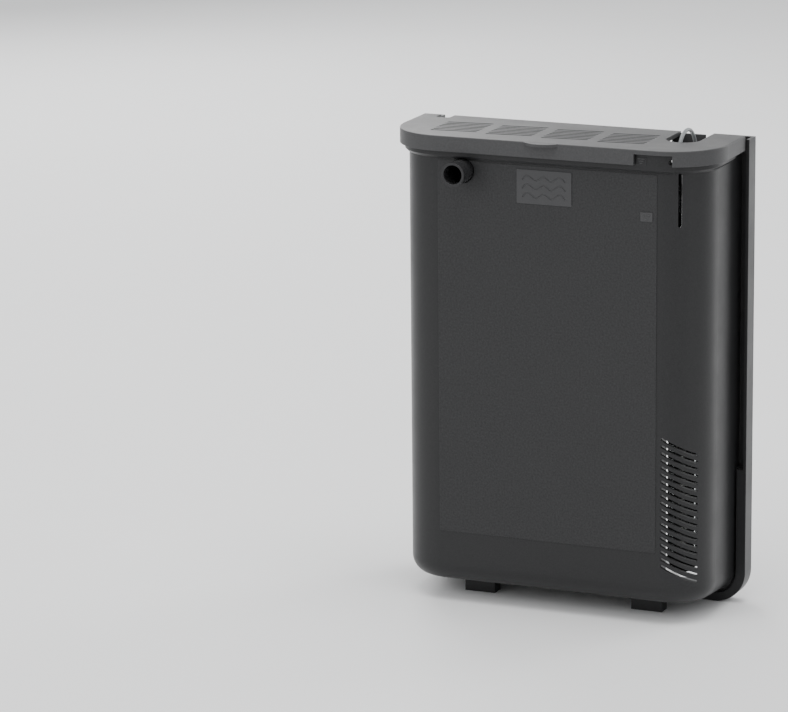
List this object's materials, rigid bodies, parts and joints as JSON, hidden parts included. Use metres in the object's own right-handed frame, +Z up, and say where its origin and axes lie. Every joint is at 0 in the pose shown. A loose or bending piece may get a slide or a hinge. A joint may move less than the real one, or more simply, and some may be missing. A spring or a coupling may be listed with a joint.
{
  "type": "internal aquarium box filter",
  "caption": "Open-backed aquarium box filter with lid, stacked media cartridges in a lift-out rack, pump with riser and outlet, and a heater.",
  "frame": {"origin": "middle of the base of the box around the housing, outlet and flange, without the lead", "axes": "+X to the right seen from the front, +Y towards the glass that the rear flange is glued to, +Z up"},
  "size_m": [0.278, 0.2084, 0.3918],
  "materials": {
    "housing_plastic": "fine satin grain",
    "lid_plastic": "satin",
    "fitting_plastic": "satin",
    "clear_pipe": "clear, gloss",
    "seal_rubber": "matt",
    "pump_plastic": "satin",
    "cup_rubber": "satin",
    "rotor_magnet": "moulded magnet, satin",
    "shaft_ceramic": "polished ceramic",
    "rack_plastic": "satin",
    "clear_box": "clear, gloss",
    "box_lid": "frosted",
    "filter_floss": "soft fibre",
    "carbon_pellets": "matt pellets",
    "blue_foam": "open cell foam",
    "ceramic_balls": "unglazed balls",
    "heater_plastic": "satin",
    "scale_print": "print",
    "heater_glass": "clear",
    "element_ceramic": "glazed",
    "control_board": "board",
    "guard_plastic": "satin",
    "cord_pvc": "soft satin",
    "tie_plastic": "matt",
    "plug_pvc": "satin",
    "pin_metal": "nickel plated"
  },
  "bodies": {
    "housing": {"housing_shell": "housing_plastic", "heater_chamber_wall": "housing_plastic", "pump_chamber_wall": "housing_plastic", "outlet_elbow": "fitting_plastic", "outlet_seal": "seal_rubber", "riser_pipe": "clear_pipe", "pump_body": "pump_plastic", "pump_end_cap": "pump_plastic", "pump_cover": "pump_plastic", "impeller_shaft": "shaft_ceramic", "shaft_bushes": "seal_rubber", "pump_suction_cups": "cup_rubber", "heater_head": "heater_plastic", "heater_tube": "heater_glass", "heater_element": "element_ceramic", "heater_control_board": "control_board", "heater_guard": "guard_plastic", "heater_clip_upper": "heater_plastic", "heater_clip_lower": "heater_plastic", "heater_cord": "cord_pvc", "cord_coil": "cord_pvc", "heater_cord_tail": "cord_pvc", "coil_tie": "tie_plastic", "mains_plug": "plug_pvc", "plug_pins": "pin_metal", "plug_boot": "plug_pvc", "lead_gland": "cord_pvc"},
    "lid": {"lid": "lid_plastic"},
    "rack": {"cartridge_rack": "rack_plastic", "finger_loop_left": "rack_plastic", "finger_loop_right": "rack_plastic"},
    "ceramic_cartridge": {"ceramic_box": "clear_box", "ceramic_box_lid": "box_lid", "ceramic_filling": "ceramic_balls"},
    "foam_cartridge": {"foam_box": "clear_box", "foam_box_lid": "box_lid", "foam_filling": "blue_foam"},
    "carbon_cartridge": {"carbon_box": "clear_box", "carbon_box_lid": "box_lid", "carbon_filling": "carbon_pellets"},
    "floss_cartridge": {"floss_box": "clear_box", "floss_box_lid": "box_lid", "floss_filling": "filter_floss"},
    "heater_dial": {"heater_knob": "heater_plastic", "knob_scale_ring": "scale_print"},
    "flow_dial": {"flow_dial": "pump_plastic"},
    "rotor": {"impeller": "rotor_magnet"}
  },
  "joints": [
    {"name": "rack_lift", "type": "slide", "parent": "housing", "child": "rack", "axis": [0, 0, 1], "range_m": [0, 0.355]},
    {"name": "lid_lift", "type": "slide", "parent": "housing", "child": "lid", "axis": [0, 0, 1], "range_m": [0, 0.42]},
    {"name": "ceramic_cartridge_slide", "type": "slide", "parent": "rack", "child": "ceramic_cartridge", "axis": [0, 1, 0], "range_m": [0, 0.09]},
    {"name": "foam_cartridge_slide", "type": "slide", "parent": "rack", "child": "foam_cartridge", "axis": [0, 1, 0], "range_m": [0, 0.09]},
    {"name": "carbon_cartridge_slide", "type": "slide", "parent": "rack", "child": "carbon_cartridge", "axis": [0, 1, 0], "range_m": [0, 0.09]},
    {"name": "floss_cartridge_slide", "type": "slide", "parent": "rack", "child": "floss_cartridge", "axis": [0, 1, 0], "range_m": [0, 0.09]},
    {"name": "heater_dial_turn", "type": "hinge", "parent": "housing", "child": "heater_dial", "pos_m": [0.097, 0.01375, 0.35], "axis": [0, 0, 1], "range_deg": [-130, 130]},
    {"name": "flow_dial_turn", "type": "hinge", "parent": "housing", "child": "flow_dial", "pos_m": [-0.0566, 0.02175, 0.0455], "axis": [1, 0, 0], "range_deg": [0, 45]},
    {"name": "impeller_spin", "type": "hinge", "parent": "housing", "child": "rotor", "pos_m": [-0.08, 0.02175, 0.0455], "axis": [1, 0, 0], "continuous": true}
  ],
  "couplings": [
    {"joint": "lid_lift", "follows": "rack_lift", "ratio": 1.18}
  ]
}
